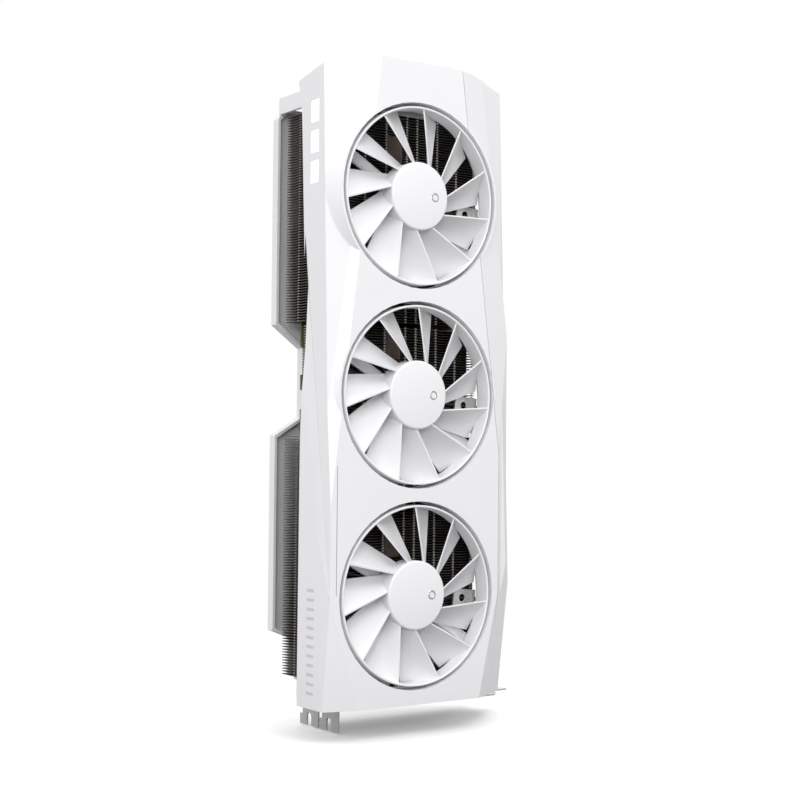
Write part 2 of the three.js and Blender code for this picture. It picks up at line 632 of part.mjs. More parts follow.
// ---------------------------------------------------------------- backplate, clamp and screws
const TRAY_LEFT_X = -52;
const TRAY_INNER_X = -34.5;
const TRAY_RIGHT_X = 66;
const TRAY_Z0 = 12.6;
const TRAY_OUTLINE = [
  [TRAY_INNER_X, TRAY_Z0], [TRAY_INNER_X, 34.4], [TRAY_LEFT_X, 41.7], [TRAY_LEFT_X, 150.3],
  [TRAY_INNER_X, 160.8], [TRAY_INNER_X, 199.8], [TRAY_LEFT_X, 212.6], [TRAY_LEFT_X, 329],
  [TRAY_LEFT_X + 5, 335], [TRAY_RIGHT_X - 5, 335], [TRAY_RIGHT_X, 329], [TRAY_RIGHT_X, TRAY_Z0 + 5],
  [TRAY_RIGHT_X - 5, TRAY_Z0],
];
const TRAY_INNER = [
  [TRAY_INNER_X + 1.6, TRAY_Z0 + 1.6], [TRAY_INNER_X + 1.6, 35.5], [TRAY_LEFT_X + 1.6, 42.8],
  [TRAY_LEFT_X + 1.6, 149.2], [TRAY_INNER_X + 1.6, 159.9], [TRAY_INNER_X + 1.6, 200.7],
  [TRAY_LEFT_X + 1.6, 213.7], [TRAY_LEFT_X + 1.6, 328.3], [TRAY_LEFT_X + 5.7, 333.4],
  [TRAY_RIGHT_X - 5.7, 333.4], [TRAY_RIGHT_X - 1.6, 328.3], [TRAY_RIGHT_X - 1.6, TRAY_Z0 + 5.7],
  [TRAY_RIGHT_X - 5.7, TRAY_Z0 + 1.6],
];
const BACKPLATE_SCREWS = [[-26, 20], [56, 20], [-26, 148], [56, 148], [-26, 254], [56, 254]];
const SCREW_BACK_Y = BACKPLATE_Y + BACKPLATE_T;

function makeBackplate() {
  let tray = solid(slabY(TRAY_OUTLINE, BACKPLATE_FRONT_Y, SCREW_BACK_Y));
  tray = tray.subtract(solid(slabY(TRAY_INNER, BACKPLATE_FRONT_Y - 5, BACKPLATE_Y)));
  // window over the clamp
  tray = tray.subtract(boxSolid(GPU.x - 17.5, GPU.x + 17.5, 0, 20, GPU.z - 17.5, GPU.z + 17.5));
  // vents behind the tail fan
  for (let z = 268; z < 326; z += 7.5) {
    for (const x of [-40, -6, 28]) {
      tray = tray.subtract(boxSolid(x, x + 28, 0, 20, z, z + 3.6));
    }
  }
  for (const [x, z] of BACKPLATE_SCREWS) {
    // boss that stands on the board under each screw
    tray = tray.add(solid(discY(3.4, BOARD_T, SCREW_BACK_Y - 0.4, x, z, 10)));
    tray = tray.subtract(solid(discY(1.7, -5, 20, x, z, 10)));
  }
  addPart('backplate', geometryOf(tray), 'white');
  BACKPLATE_SCREWS.forEach(([x, z], n) => {
    addScrew(`backplate_screw_${n + 1}`, x, SCREW_BACK_Y, z, [2.9, 1.4, 1.4, 6]);
  });
}

function makeClamp() {
  const y0 = BOARD_T + 1.2;
  const y1 = y0 + 1.2;
  const ring = boxSolid(GPU.x - 15, GPU.x + 15, y0, y1, GPU.z - 15, GPU.z + 15)
    .subtract(boxSolid(GPU.x - 9, GPU.x + 9, 0, 10, GPU.z - 9, GPU.z + 9));
  const arms = clampCorners().map(([x, z]) => {
    const angle = Math.atan2(z - GPU.z, x - GPU.x);
    const arm = new THREE.BoxGeometry(20, y1 - y0, 8).translate(26.5, (y0 + y1) / 2, 0)
      .rotateY(-angle).translate(GPU.x, 0, GPU.z);
    return solid(arm).add(solid(discY(4.6, y0, y1, x, z, 12)));
  });
  let clamp = join([ring, ...arms]);
  for (const [x, z] of clampCorners()) {
    clamp = clamp.subtract(solid(discY(1.6, -5, 10, x, z, 10)));
  }
  addPart('chip_clamp', geometryOf(clamp), 'black');
  clampCorners().forEach(([x, z], n) => {
    addScrew(`clamp_screw_${n + 1}`, x, y1, z, [2.8, 1.8, 1.3, 8]);
  });
}

// white end piece that closes the gap between the shroud and the backplate at the tail
function makeTailBracket() {
  const outer = boxSolid(-52, 66, -29.5, BACKPLATE_FRONT_Y - GAP, 331, 340.5);
  const inner = boxSolid(-50, 64, -40, 20, 320, 338.7);
  addPart('tail_bracket', geometryOf(outer.subtract(inner)), 'white');
}

makeShroud();
makeLightGuide();
makeFans();
makeFins();
makeHeatPipes();
makeColdPlate();
makeBoard();
makePowerSockets();
PORTS.forEach(makePort);
makeBracket();
BRACKET_EARS.forEach((x, n) => addScrew(`bracket_screw_${n + 1}`, x, BOARD_T + 1, EAR_Z, [2.8, 1.4, 1.3, 2.2]));
makeBackplate();
makeClamp();
makeTailBracket();

export default card;
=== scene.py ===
"""The looks of a triple-fan graphics card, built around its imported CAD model.

+Z runs along the card from the I/O bracket to the tail, -Y is the fan side, +Y the backplate side,
-X the top edge with the power sockets and +X the slot-connector edge. Shapes are given in millimetres
and stored in metres.
"""

import math
import random

import bmesh
import bpy
from mathutils import Matrix, Vector


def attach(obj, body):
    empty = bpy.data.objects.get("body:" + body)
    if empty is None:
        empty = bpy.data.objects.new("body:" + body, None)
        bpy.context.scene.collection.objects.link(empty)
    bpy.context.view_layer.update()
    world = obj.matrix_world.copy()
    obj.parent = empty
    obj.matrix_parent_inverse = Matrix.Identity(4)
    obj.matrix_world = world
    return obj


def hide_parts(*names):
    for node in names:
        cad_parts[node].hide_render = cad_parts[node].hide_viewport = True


MM = 0.001
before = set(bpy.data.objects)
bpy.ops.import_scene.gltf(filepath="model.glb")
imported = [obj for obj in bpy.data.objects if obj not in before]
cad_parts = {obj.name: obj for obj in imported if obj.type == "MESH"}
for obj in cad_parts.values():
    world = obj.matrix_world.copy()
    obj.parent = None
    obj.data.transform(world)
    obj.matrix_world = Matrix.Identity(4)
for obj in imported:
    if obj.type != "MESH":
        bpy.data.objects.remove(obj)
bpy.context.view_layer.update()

FAN_Z = {1: 64.0, 2: 173.0, 3: 282.0}
FAN_PHASE = {1: 6.87, 2: 5.8, 3: 3.0}      # where the first blade of each fan rests, in degrees


# ---------------------------------------------------------------- materials
def new_material(name):
    material = bpy.data.materials.new(name)
    material.use_nodes = True
    tree = material.node_tree
    return material, tree, tree.nodes["Principled BSDF"]


def add_node(tree, kind, **settings):
    """A node with its properties and unlinked sockets set by name."""
    made = tree.nodes.new(kind)
    for key, value in settings.items():
        socket = key.replace("_", " ")
        if hasattr(made, key):
            setattr(made, key, value)
        else:
            made.inputs[socket].default_value = value
    return made


def object_coords(tree, scale=(1, 1, 1)):
    coords = add_node(tree, "ShaderNodeTexCoord")
    mapping = add_node(tree, "ShaderNodeMapping")
    mapping.inputs["Scale"].default_value = scale
    tree.links.new(coords.outputs["Object"], mapping.inputs["Vector"])
    return mapping.outputs["Vector"]


def noise(tree, scale, stretch=(1, 1, 1), detail=2.0):
    made = add_node(tree, "ShaderNodeTexNoise", Scale=scale, Detail=detail)
    tree.links.new(object_coords(tree, stretch), made.inputs["Vector"])
    return made.outputs["Fac"]


def ramp(tree, factor, stops):
    """Colours along a factor. stops is a list of (position, colour)."""
    made = add_node(tree, "ShaderNodeValToRGB")
    elements = made.color_ramp.elements
    while len(elements) < len(stops):
        elements.new(0.5)
    for element, (position, colour) in zip(elements, stops):
        element.position = position
        element.color = (*colour, 1)
    tree.links.new(factor, made.inputs["Fac"])
    return made.outputs["Color"]


def spread(tree, factor, low, high):
    made = add_node(tree, "ShaderNodeMapRange", From_Min=0.3, From_Max=0.7, To_Min=low, To_Max=high)
    tree.links.new(factor, made.inputs["Value"])
    return made.outputs["Result"]


def bump(tree, bsdf, height, strength, distance):
    made = add_node(tree, "ShaderNodeBump", Strength=strength, Distance=distance)
    tree.links.new(height, made.inputs["Height"])
    tree.links.new(made.outputs["Normal"], bsdf.inputs["Normal"])


def tinted(colour, by):
    return tuple(min(1.0, channel * by) for channel in colour)


def plastic(name, colour, rough=0.4, drift=0.02, grain=2600, relief=0.12):
    """Moulded plastic: a fine grain, and a slow drift of tone and gloss."""
    material, tree, bsdf = new_material(name)
    slow = noise(tree, 22, detail=3)
    tone = ramp(tree, slow, [(0.35, tinted(colour, 1 - drift)), (0.65, tinted(colour, 1 + drift))])
    tree.links.new(tone, bsdf.inputs["Base Color"])
    tree.links.new(spread(tree, noise(tree, 140), rough - 0.04, rough + 0.05), bsdf.inputs["Roughness"])
    bsdf.inputs["Specular IOR Level"].default_value = 0.5
    bump(tree, bsdf, noise(tree, grain), strength=relief, distance=0.00006)
    return material


def metal(name, colour, rough=0.32, brush=(40, 900, 900), drift=0.08, metallic=1.0):
    """Sheet or turned metal with fine drawing marks along one axis."""
    material, tree, bsdf = new_material(name)
    marks = noise(tree, 1.6, brush, detail=4)
    tone = ramp(tree, marks, [(0.3, tinted(colour, 1 - drift)), (0.7, tinted(colour, 1 + drift))])
    tree.links.new(tone, bsdf.inputs["Base Color"])
    tree.links.new(spread(tree, marks, rough - 0.08, rough + 0.1), bsdf.inputs["Roughness"])
    bsdf.inputs["Metallic"].default_value = metallic
    bump(tree, bsdf, marks, strength=0.1, distance=0.00004)
    return material


def solder_mask():
    """Olive board lacquer over faint copper tracks."""
    material, tree, bsdf = new_material("board_green")
    wave = add_node(tree, "ShaderNodeTexWave", Scale=230.0, Distortion=3.0, Detail=1.0)
    wave.bands_direction = "Z"
    tree.links.new(object_coords(tree), wave.inputs["Vector"])
    patches = noise(tree, 55)
    both = add_node(tree, "ShaderNodeMath", operation="MULTIPLY")
    tree.links.new(wave.outputs["Fac"], both.inputs[0])
    tree.links.new(patches, both.inputs[1])
    tone = ramp(tree, both.outputs[0], [(0.12, (0.075, 0.085, 0.018)), (0.5, (0.15, 0.16, 0.04))])
    tree.links.new(tone, bsdf.inputs["Base Color"])
    bsdf.inputs["Roughness"].default_value = 0.35
    bump(tree, bsdf, both.outputs[0], 0.25, 0.00005)
    return material


def windings():
    """Enamelled copper wire wound side by side."""
    material, tree, bsdf = new_material("winding_copper")
    wave = add_node(tree, "ShaderNodeTexWave", Scale=480.0, Distortion=0.4)
    wave.bands_direction = "Y"
    tree.links.new(object_coords(tree), wave.inputs["Vector"])
    tone = ramp(tree, wave.outputs["Fac"], [(0.1, (0.16, 0.05, 0.02)), (0.8, (0.62, 0.27, 0.12))])
    tree.links.new(tone, bsdf.inputs["Base Color"])
    bsdf.inputs["Metallic"].default_value = 0.8
    bsdf.inputs["Roughness"].default_value = 0.3
    bump(tree, bsdf, wave.outputs["Fac"], 0.6, 0.0002)
    return material


def lit_lens():
    """A white diffuser lit from behind."""
    material, tree, bsdf = new_material("light_lens")
    glow = ramp(tree, noise(tree, 90), [(0.3, (0.93, 0.96, 1.0)), (0.7, (1.0, 1.0, 1.0))])
    tree.links.new(glow, bsdf.inputs["Base Color"])
    tree.links.new(glow, bsdf.inputs["Emission Color"])
    bsdf.inputs["Emission Strength"].default_value = 0.35
    bsdf.inputs["Roughness"].default_value = 0.3
    return material


WHITE = plastic("shell_white", (0.86, 0.86, 0.87), rough=0.38, drift=0.008)
FAN_WHITE = plastic("fan_white", (0.87, 0.87, 0.88), rough=0.42, drift=0.008)
ACCENT = plastic("accent_grey", (0.66, 0.66, 0.68), rough=0.35, drift=0.02)
LENS = lit_lens()
FIN = metal("fin_dark", (0.05, 0.041, 0.035), rough=0.42, brush=(30, 1200, 1200), drift=0.25,
            metallic=0.75)
# brighter metal for strips along the fins' edges: a painted highlight where light catches them
FIN_EDGE_PAINTED_HIGHLIGHT = metal("fin_edge_painted_highlight", (0.17, 0.15, 0.135), rough=0.4, drift=0.25, metallic=0.8)
# light metal for the fins' folded tabs: a painted highlight where light catches them
FIN_FOLD_PAINTED_HIGHLIGHT = metal("fin_fold_painted_highlight", (0.66, 0.63, 0.58), rough=0.35, drift=0.25, metallic=0.45)
FIN_PATCH = metal("fin_patch", (0.15, 0.115, 0.095), rough=0.45, drift=0.12, metallic=0.4)
NICKEL = metal("nickel", (0.62, 0.60, 0.57), rough=0.25)
PIPE = metal("pipe_copper", (0.40, 0.30, 0.23), rough=0.28, brush=(900, 900, 30))
COPPER = windings()
BOARD = solder_mask()
CHIP = plastic("chip_black", (0.028, 0.028, 0.03), rough=0.5, drift=0.15, grain=5200, relief=0.3)
SOCKET = plastic("socket_black", (0.03, 0.03, 0.032), rough=0.45, drift=0.1)
BLACK_STEEL = metal("steel_black", (0.05, 0.05, 0.052), rough=0.4, metallic=0.5)
BRACKET = metal("bracket_steel", (0.74, 0.74, 0.73), rough=0.34, brush=(30, 1300, 1300), drift=0.06,
                metallic=0.55)
PORT = metal("port_steel", (0.62, 0.62, 0.60), rough=0.26, brush=(900, 900, 40))
SCREW = metal("screw_steel", (0.55, 0.55, 0.54), rough=0.3, brush=(700, 700, 700), drift=0.1)
MAGNET = plastic("magnet_grey", (0.05, 0.05, 0.055), rough=0.6, drift=0.2, grain=3500, relief=0.3)
WIRE = plastic("wire_black", (0.02, 0.02, 0.022), rough=0.5, drift=0.1)
GOLD = metal("gold_contact", (0.86, 0.62, 0.24), rough=0.22, brush=(900, 60, 900), drift=0.05)
CHOKE = plastic("ferrite_grey", (0.13, 0.13, 0.135), rough=0.55, drift=0.15, grain=3000, relief=0.3)
CAN = metal("capacitor_can", (0.70, 0.70, 0.71), rough=0.25, brush=(60, 900, 60))


# ---------------------------------------------------------------- shapes
class Shape:
    """Points and faces, in millimetres, gathered into one mesh."""

    def __init__(self):
        self.points = []
        self.faces = []

    def add(self, points, faces):
        base = len(self.points)
        self.points += [Vector(p) for p in points]
        self.faces += [[base + i for i in face] for face in faces]
        return self

    def box(self, x0, x1, y0, y1, z0, z1, turn=None):
        points = [(x, y, z) for x in (x0, x1) for y in (y0, y1) for z in (z0, z1)]
        if turn is not None:
            points = [turn @ Vector(p) for p in points]
        faces = [(0, 1, 3, 2), (4, 6, 7, 5), (0, 4, 5, 1), (2, 3, 7, 6), (0, 2, 6, 4), (1, 5, 7, 3)]
        return self.add(points, faces)

    def loft(self, near, far):
        """The solid between two outlines with the same number of points."""
        n = len(near)
        faces = [list(range(n)), list(range(2 * n - 1, n - 1, -1))]
        faces += [(i, n + i, n + (i + 1) % n, (i + 1) % n) for i in range(n)]
        return self.add(near + far, faces)

    def prism(self, outline, y0, y1):
        """An outline in X and Z filled between two heights of Y."""
        return self.loft([(x, y0, z) for x, z in outline], [(x, y1, z) for x, z in outline])

    def plate(self, outline, z0, z1):
        """An outline in X and Y filled between two heights of Z."""
        return self.loft([(x, y, z0) for x, y in outline], [(x, y, z1) for x, y in outline])

    def lathe(self, profile, centre=(0, 0, 0), sides=96, closed=False):
        """A profile of (radius, y) turned about an axis along Y. Radius 0 closes an end."""
        rings = []
        points = []
        for radius, y in profile:
            if radius == 0:
                rings.append([len(points)])
                points.append((centre[0], centre[1] + y, centre[2]))
                continue
            rings.append(list(range(len(points), len(points) + sides)))
            for n in range(sides):
                a = 2 * math.pi * n / sides
                points.append((centre[0] + radius * math.cos(a), centre[1] + y,
                               centre[2] + radius * math.sin(a)))
        faces = []
        pairs = list(zip(rings, rings[1:] + (rings[:1] if closed else [])))
        for one, two in pairs if closed else pairs[:len(rings) - 1]:
            for n in range(sides):
                m = (n + 1) % sides
                if len(one) == 1:
                    faces.append((one[0], two[n], two[m]))
                elif len(two) == 1:
                    faces.append((one[n], two[0], one[m]))
                else:
                    faces.append((one[n], two[n], two[m], one[m]))
        return self.add(points, faces)

    def tube(self, path, radius, sides=10, flat=1.0):
        """A round or flattened tube along a path of points."""
        path = [Vector(p) for p in path]
        points = []
        for n, centre in enumerate(path):
            ahead = path[min(n + 1, len(path) - 1)] - path[max(n - 1, 0)]
            ahead.normalize()
            side = ahead.cross(Vector((0, 1, 0)))
            if side.length <= 0.2:
                side = ahead.cross(Vector((0, 0, 1)))
            side.normalize()
            up = side.cross(ahead)
            for k in range(sides):
                a = 2 * math.pi * k / sides
                points.append(centre + side * (radius * math.cos(a)) + up * (radius * flat * math.sin(a)))
        faces = []
        for n in range(len(path) - 1):
            for k in range(sides):
                a, b = n * sides + k, n * sides + (k + 1) % sides
                faces.append((a, b, b + sides, a + sides))
        faces.append(list(range(sides)))
        faces.append([len(points) - 1 - k for k in range(sides)])
        return self.add(points, faces)


def smooth_path(knots, steps=8):
    """A Catmull-Rom curve through the knots."""
    knots = [Vector(k) for k in knots]
    ends = [2 * knots[0] - knots[1]] + knots + [2 * knots[-1] - knots[-2]]
    path = []
    for n in range(1, len(ends) - 2):
        a, b, c, d = ends[n - 1:n + 3]
        for k in range(steps):
            t = k / steps
            path.append(0.5 * (2 * b + (c - a) * t + (2 * a - 5 * b + 4 * c - d) * t * t
                               + (3 * b - a - 3 * c + d) * t ** 3))
    return path + [knots[-1]]


def mesh_of(name, shape, weld=0.0, outward=False):
    """A Shape as a mesh in metres, welded and with its faces turned outward if asked."""
    mesh = bpy.data.meshes.new(name)
    mesh.from_pydata([p * MM for p in shape.points], [], shape.faces)
    if outward:
        work = bmesh.new()
        work.from_mesh(mesh)
        if weld:
            bmesh.ops.remove_doubles(work, verts=work.verts, dist=weld)
        bmesh.ops.recalc_face_normals(work, faces=work.faces)
        work.to_mesh(mesh)
        work.free()
    return mesh


def bake_modifiers(piece):
    """Replaces a piece's mesh by the one its modifiers make."""
    graph = bpy.context.evaluated_depsgraph_get()
    final = bpy.data.meshes.new_from_object(piece.evaluated_get(graph))
    piece.modifiers.clear()
    old = piece.data
    piece.data = final
    bpy.data.meshes.remove(old)


def finish_mesh(piece, bevel=0.0, segments=2, smooth=32.0, bevel_from=28.0):
    """Rounds the edges by bevel millimetres and shades curved stretches smoothly."""
    if bevel:
        rounding = piece.modifiers.new("rounding", "BEVEL")
        rounding.width = bevel * MM
        rounding.segments = segments
        rounding.limit_method = "ANGLE"
        rounding.angle_limit = math.radians(bevel_from)
        rounding.use_clamp_overlap = True
        bake_modifiers(piece)
    piece.data.shade_smooth()
    piece.data.set_sharp_from_angle(angle=math.radians(50.0 if bevel else smooth))
    weights = piece.modifiers.new("weights", "WEIGHTED_NORMAL")
    weights.keep_sharp = True
    bake_modifiers(piece)


def place(name, mesh, material, slot, body="card", replaces=(), **finish):
    """Puts a finished mesh in the scene as a piece that rides on a body."""
    piece = bpy.data.objects.new(name, mesh)
    bpy.context.scene.collection.objects.link(piece)
    finish_mesh(piece, **finish)
    piece.data.materials.clear()
    piece.data.materials.append(material)
    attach(piece, body)
    if replaces:
        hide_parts(*replaces)


def build(name, shape, material, outward=True, **options):
    """A piece from a Shape."""
    place(name, mesh_of(name, shape, weld=1e-7, outward=outward), material, **options)


def clean_copy(node):
    """A CAD node's mesh, welded, with the triangles of each flat face joined."""
    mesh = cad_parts[node].data.copy()
    work = bmesh.new()
    work.from_mesh(mesh)
    bmesh.ops.remove_doubles(work, verts=work.verts, dist=2e-6)
    bmesh.ops.dissolve_limit(work, angle_limit=math.radians(0.6), verts=work.verts, edges=work.edges)
    work.to_mesh(mesh)
    work.free()
    return mesh


def cut(mesh, shape):
    """The mesh with a Shape's volume taken out of it."""
    cutter = bpy.data.objects.new("cutter", mesh_of("cutter", shape, outward=True))
    body = bpy.data.objects.new("cut_body", mesh)
    for piece in (cutter, body):
        bpy.context.scene.collection.objects.link(piece)
    taken = body.modifiers.new("cut", "BOOLEAN")
    taken.operation = "DIFFERENCE"
    taken.solver = "EXACT"
    taken.object = cutter
    bpy.context.view_layer.update()
    graph = bpy.context.evaluated_depsgraph_get()
    result = bpy.data.meshes.new_from_object(body.evaluated_get(graph))
    bpy.data.objects.remove(cutter)
    bpy.data.objects.remove(body)
    if not result.polygons:
        raise RuntimeError("nothing was left after a cut")
    return result


def refine(node, material, slot, bevel=0.3, body="card", cutters=(), **options):
    """Stands for a CAD node with the same shape and rounded edges."""
    mesh = clean_copy(node)
    for shape in cutters:
        mesh = cut(mesh, shape)
    place(node + "_finished", mesh, material, body=body, slot=slot, replaces=[node], bevel=bevel, **options)


# ---------------------------------------------------------------- shroud
def make_shroud():
    # narrow gaps between the moulded panels: one low on the left, two down the right side
    ahead = -70
    left = Shape().box(-53.2, -52.7, ahead, -61.0, 66, 134)
    right = Shape().box(55.1, 55.6, ahead, -60.9, 8, 137)
    slant = Shape().prism([(27.4, 356), (27.9, 356), (56.0, 139), (55.5, 139)], ahead, -62.6)
    refine("shroud", WHITE, "shell_white", bevel=0.45, bevel_from=12.0,
           cutters=(left, right, slant))
    # a ladder of plain raised bars on the top edge near the bracket
    bars = Shape()
    for n in range(12):
        z = 12.6 + n * 4.95
        bars.box(-57.1, -56.6, -48.6, -41.4, z, z + 1.7)
    build("shroud_bars", bars, ACCENT, bevel=0.1, slot="shell_white")
    refine("light_guide", LENS, "light_lens", bevel=0.2)
    refine("light_board", BOARD, "board_green", bevel=0.1)
    diodes = Shape()
    for z in range(290, 330, 4):
        diodes.box(-53.1, -52.6, -45.2, -43.4, z, z + 1.8)
    build("light_board_diodes", diodes, LENS, bevel=0.1, slot="light_lens")


# ---------------------------------------------------------------- fans
BLADES = 11
BLADE_R = (17.9, 48.4)                     # each pair is a value at a blade's root and at its tip
BLADE_START = (0, 19.6)                    # degrees where the front edge lies
BLADE_CHORD = (29.0, 21.0)                 # degrees from the front edge to the back edge
BLADE_FRONT_Y = (-61.5, -62.9)
BLADE_BACK_Y = (-51.8, -50.6)
BLADE_HALF = 0.5                           # half a blade's thickness
HUB_R = 18.8
HUB_FRONT_Y = -63.75
RING_R = 49.0
RING_INNER_R = 47.8
ARM_DEGREES = (150, 240, 328)
EAR_DEGREES = -6


def between(pair, share):
    return pair[0] + (pair[1] - pair[0]) * share


def blade_edge(across, root_degrees, tip_degrees):
    """A blade's straight edge as radius and angle. across is 0 at the hub and 1 at the ring."""
    points = []
    for radius, degrees in zip(BLADE_R, (root_degrees, tip_degrees)):
        a = math.radians(degrees)
        points.append(Vector((radius * math.cos(a), radius * math.sin(a))))
    at = points[0].lerp(points[1], across)
    return at.length, math.atan2(at.y, at.x)


def blade_point(across, along, side):
    """across runs from root to tip, along from the front edge to the back, side is -1 or 1."""
    front_r, front_a = blade_edge(across, *BLADE_START)
    back_r, back_a = blade_edge(across, BLADE_START[0] - BLADE_CHORD[0], BLADE_START[1] - BLADE_CHORD[1])
    radius = between((front_r, back_r), along)
    angle = between((front_a, back_a), along)
    front, back = between(BLADE_FRONT_Y, across), between(BLADE_BACK_Y, across)
    depth = between((front, back), along + 0.2 * math.sin(math.pi * along))
    if along == 0:                         # the front edge is a narrow flat that faces the front
        angle += side * BLADE_HALF / radius
    else:
        depth += side * BLADE_HALF
    return Vector((math.cos(angle) * radius, depth, math.sin(angle) * radius))


def add_blade(shape, turn):
    """Adds one blade, turned to its place, to a rotor's shape."""
    rows, columns = 16, 12
    grid = {}
    points = []
    for side in (-1, 1):
        for i in range(rows + 1):
            for j in range(columns + 1):
                grid[side, i, j] = len(points)
                along = (1 - math.cos(math.pi * j / columns)) / 2
                points.append(turn @ blade_point(i / rows, along, side))
    faces = []
    for i in range(rows):
        for j in range(columns):
            a = [grid[-1, i, j], grid[-1, i + 1, j], grid[-1, i + 1, j + 1], grid[-1, i, j + 1]]
            b = [grid[1, i, j], grid[1, i, j + 1], grid[1, i + 1, j + 1], grid[1, i + 1, j]]
            faces += [a, b]
    for i in range(rows):
        faces.append([grid[-1, i, 0], grid[1, i, 0], grid[1, i + 1, 0], grid[-1, i + 1, 0]])
        faces.append([grid[-1, i, columns], grid[-1, i + 1, columns],
                      grid[1, i + 1, columns], grid[1, i, columns]])
    for j in range(columns):
        faces.append([grid[-1, 0, j], grid[-1, 0, j + 1], grid[1, 0, j + 1], grid[1, 0, j]])
        faces.append([grid[-1, rows, j], grid[1, rows, j], grid[1, rows, j + 1], grid[-1, rows, j + 1]])
    shape.add(points, faces)


def dome_y(radius):
    """The height of the hub's shallow dome."""
    return HUB_FRONT_Y + 0.85 * (radius / 17.2) ** 2.2


def hub_profile():
    """A shallow dome with a rounded shoulder, and the hollow that holds the magnet ring."""
    profile = [(0, HUB_FRONT_Y)]
    for r in (4, 8, 11, 13.5, 15.5):
        profile.append((r, dome_y(r)))
    for n in range(7):
        a = math.radians(15 * n)
        profile.append((HUB_R - 1.2 + 1.2 * math.sin(a), -61.65 - 1.2 * math.cos(a)))
    return profile + [(HUB_R, -51.6), (HUB_R - 0.3, -51.3), (17.4, -51.3), (17.4, -60.9), (0, -60.9)]


def make_rotor(n):
    z = FAN_Z[n]
    body = f"rotor_{n}"
    rotor = Shape()
    rotor.lathe(hub_profile(), (0, 0, z), sides=96)
    ring = [(RING_INNER_R, -63.3), (RING_INNER_R + 0.3, -63.65), (RING_R - 0.3, -63.7), (RING_R, -63.4),
            (RING_R, -54.3), (RING_R - 0.25, -54), (RING_INNER_R + 0.2, -54), (RING_INNER_R, -54.3)]
    rotor.lathe(ring, (0, 0, z), sides=144, closed=True)
    for k in range(BLADES):
        add_blade(rotor, turned(z, FAN_PHASE[n] + k * 360 / BLADES))
    build(f"fan_rotor_{n}_finished", rotor, FAN_WHITE, body=body, slot="fan_white",
          replaces=[f"fan_rotor_{n}"], smooth=40)
    # a plain silver ring let into the hub, off its centre
    mark_x = 9.5
    mark = Shape()
    mark.lathe([(1.6, -0.02), (1.75, -0.14), (2.45, -0.14), (2.6, -0.02), (2.6, 0.4), (1.6, 0.4)],
               (0, 0, 0), sides=48, closed=True)
    for p in mark.points:
        p.y += dome_y(math.hypot(p.x + mark_x, p.z))
        p.x += mark_x
        p.z += z
    build(f"fan_{n}_hub_mark", mark, PORT, body=body, slot="nickel")
    refine(f"magnet_ring_{n}", MAGNET, "magnet_grey", bevel=0.15, body=body)
    shaft = Shape()
    shaft.lathe([(0, -61), (1.5, -61), (1.5, -50.0), (1.2, -49.65), (0, -49.65)], (0, 0, z), sides=32)
    build(f"fan_shaft_{n}_finished", shaft, NICKEL, body=body, slot="nickel", replaces=[f"fan_shaft_{n}"])


def polar(z, degrees, radius, y):
    a = math.radians(degrees)
    return Vector((radius * math.cos(a), y, z + radius * math.sin(a)))


def turned(z, degrees):
    """Turns a shape by degrees and moves it to a fan's axis at height z."""
    return Matrix.Translation((0, 0, z)) @ Matrix.Rotation(-math.radians(degrees), 4, "Y")


def make_motor(n):
    z = FAN_Z[n]
    refine(f"fan_mount_{n}", FAN_WHITE, "fan_white", bevel=0.5)
    # stiffening ribs along the arms, and the motor's ring of windings
    ribs = Shape()
    for degrees in ARM_DEGREES:
        for side in (-2.6, 1.9):
            ribs.box(18, 50.4, -49.7, -48.8, side, side + 0.7, turn=turned(z, degrees))
    build(f"fan_mount_{n}_ribs", ribs, FAN_WHITE, bevel=0.15, slot="fan_white")
    refine(f"stator_{n}", COPPER, "winding_copper", bevel=0.4)
    coils = Shape()
    for k in range(6):
        coils.box(9.4, 13.4, -57.2, -52.4, -3.7, 3.7, turn=turned(z, 60 * k))
    build(f"stator_{n}_coils", coils, COPPER, bevel=0.9, segments=3, slot="winding_copper")
    sleeve = Shape()
    sleeve.lathe([(1.62, -57.8), (3.0, -57.8), (3.1, -57.6), (3.1, -49.3), (1.62, -49.3)], (0, 0, z),
                 sides=40, closed=True)
    build(f"bearing_{n}_finished", sleeve, NICKEL, slot="nickel", replaces=[f"bearing_{n}"])
    # a drilled steel ear beside the duct, and two thin wires along the upper left arm
    ear_turn = turned(z, EAR_DEGREES)
    ear = mesh_of("ear", Shape().box(37, 52, -47.4, -46.2, -5, 5, turn=ear_turn))
    hole = Shape().lathe([(0, -60), (2.1, -60), (2.1, -30), (0, -30)], ear_turn @ Vector((43, 0, 0)), sides=28)
    place(f"fan_mount_{n}_ear", cut(ear, hole), BRACKET, bevel=0.2, slot="nickel")
    wires = Shape()
    for offset in (-1.0, 0.9):
        knots = [polar(z, 158, 15, -49.3), polar(z, 161 + offset, 24, -49.4),
                 polar(z, 162 + 2 * offset, 34, -49.3), polar(z, 166 + 3 * offset, 44, -48.9),
                 polar(z, 172 + 3 * offset, 50, -47.6)]
        wires.tube(smooth_path(knots, 6), 0.4, sides=8)
    build(f"fan_mount_{n}_wires", wires, WIRE, slot="wire_black")


PLUG_Z = {1: 50, 2: 150, 3: 246}
LEAD_X = 63.8                              # where the leads run down to the board


def make_fan_lead(n):
    """The lead from the motor base past the end of the fins down to its plug on the board."""
    z, plug = FAN_Z[n], PLUG_Z[n]
    knots = [(13, -45.7, z - 3), (30, -45.7, z - 4), (50, -45.7, z - 5), (60.5, -45.6, z - 6),
             (LEAD_X, -42, z - 7), (LEAD_X, -32, z - 8), (LEAD_X, -20, (z + plug) / 2), (LEAD_X, -7, plug)]
    lead = Shape()
    lead.tube(smooth_path(knots, 8), 0.8, sides=12)
    build(f"fan_lead_{n}_finished", lead, WIRE, slot="wire_black", replaces=[f"fan_lead_{n}"])
    shell = Shape()
    shell.box(61, 66, -8, -0.15, plug - 4, plug + 4)
    build(f"fan_lead_{n}_plug", shell, SOCKET, bevel=0.4, slot="socket_black")


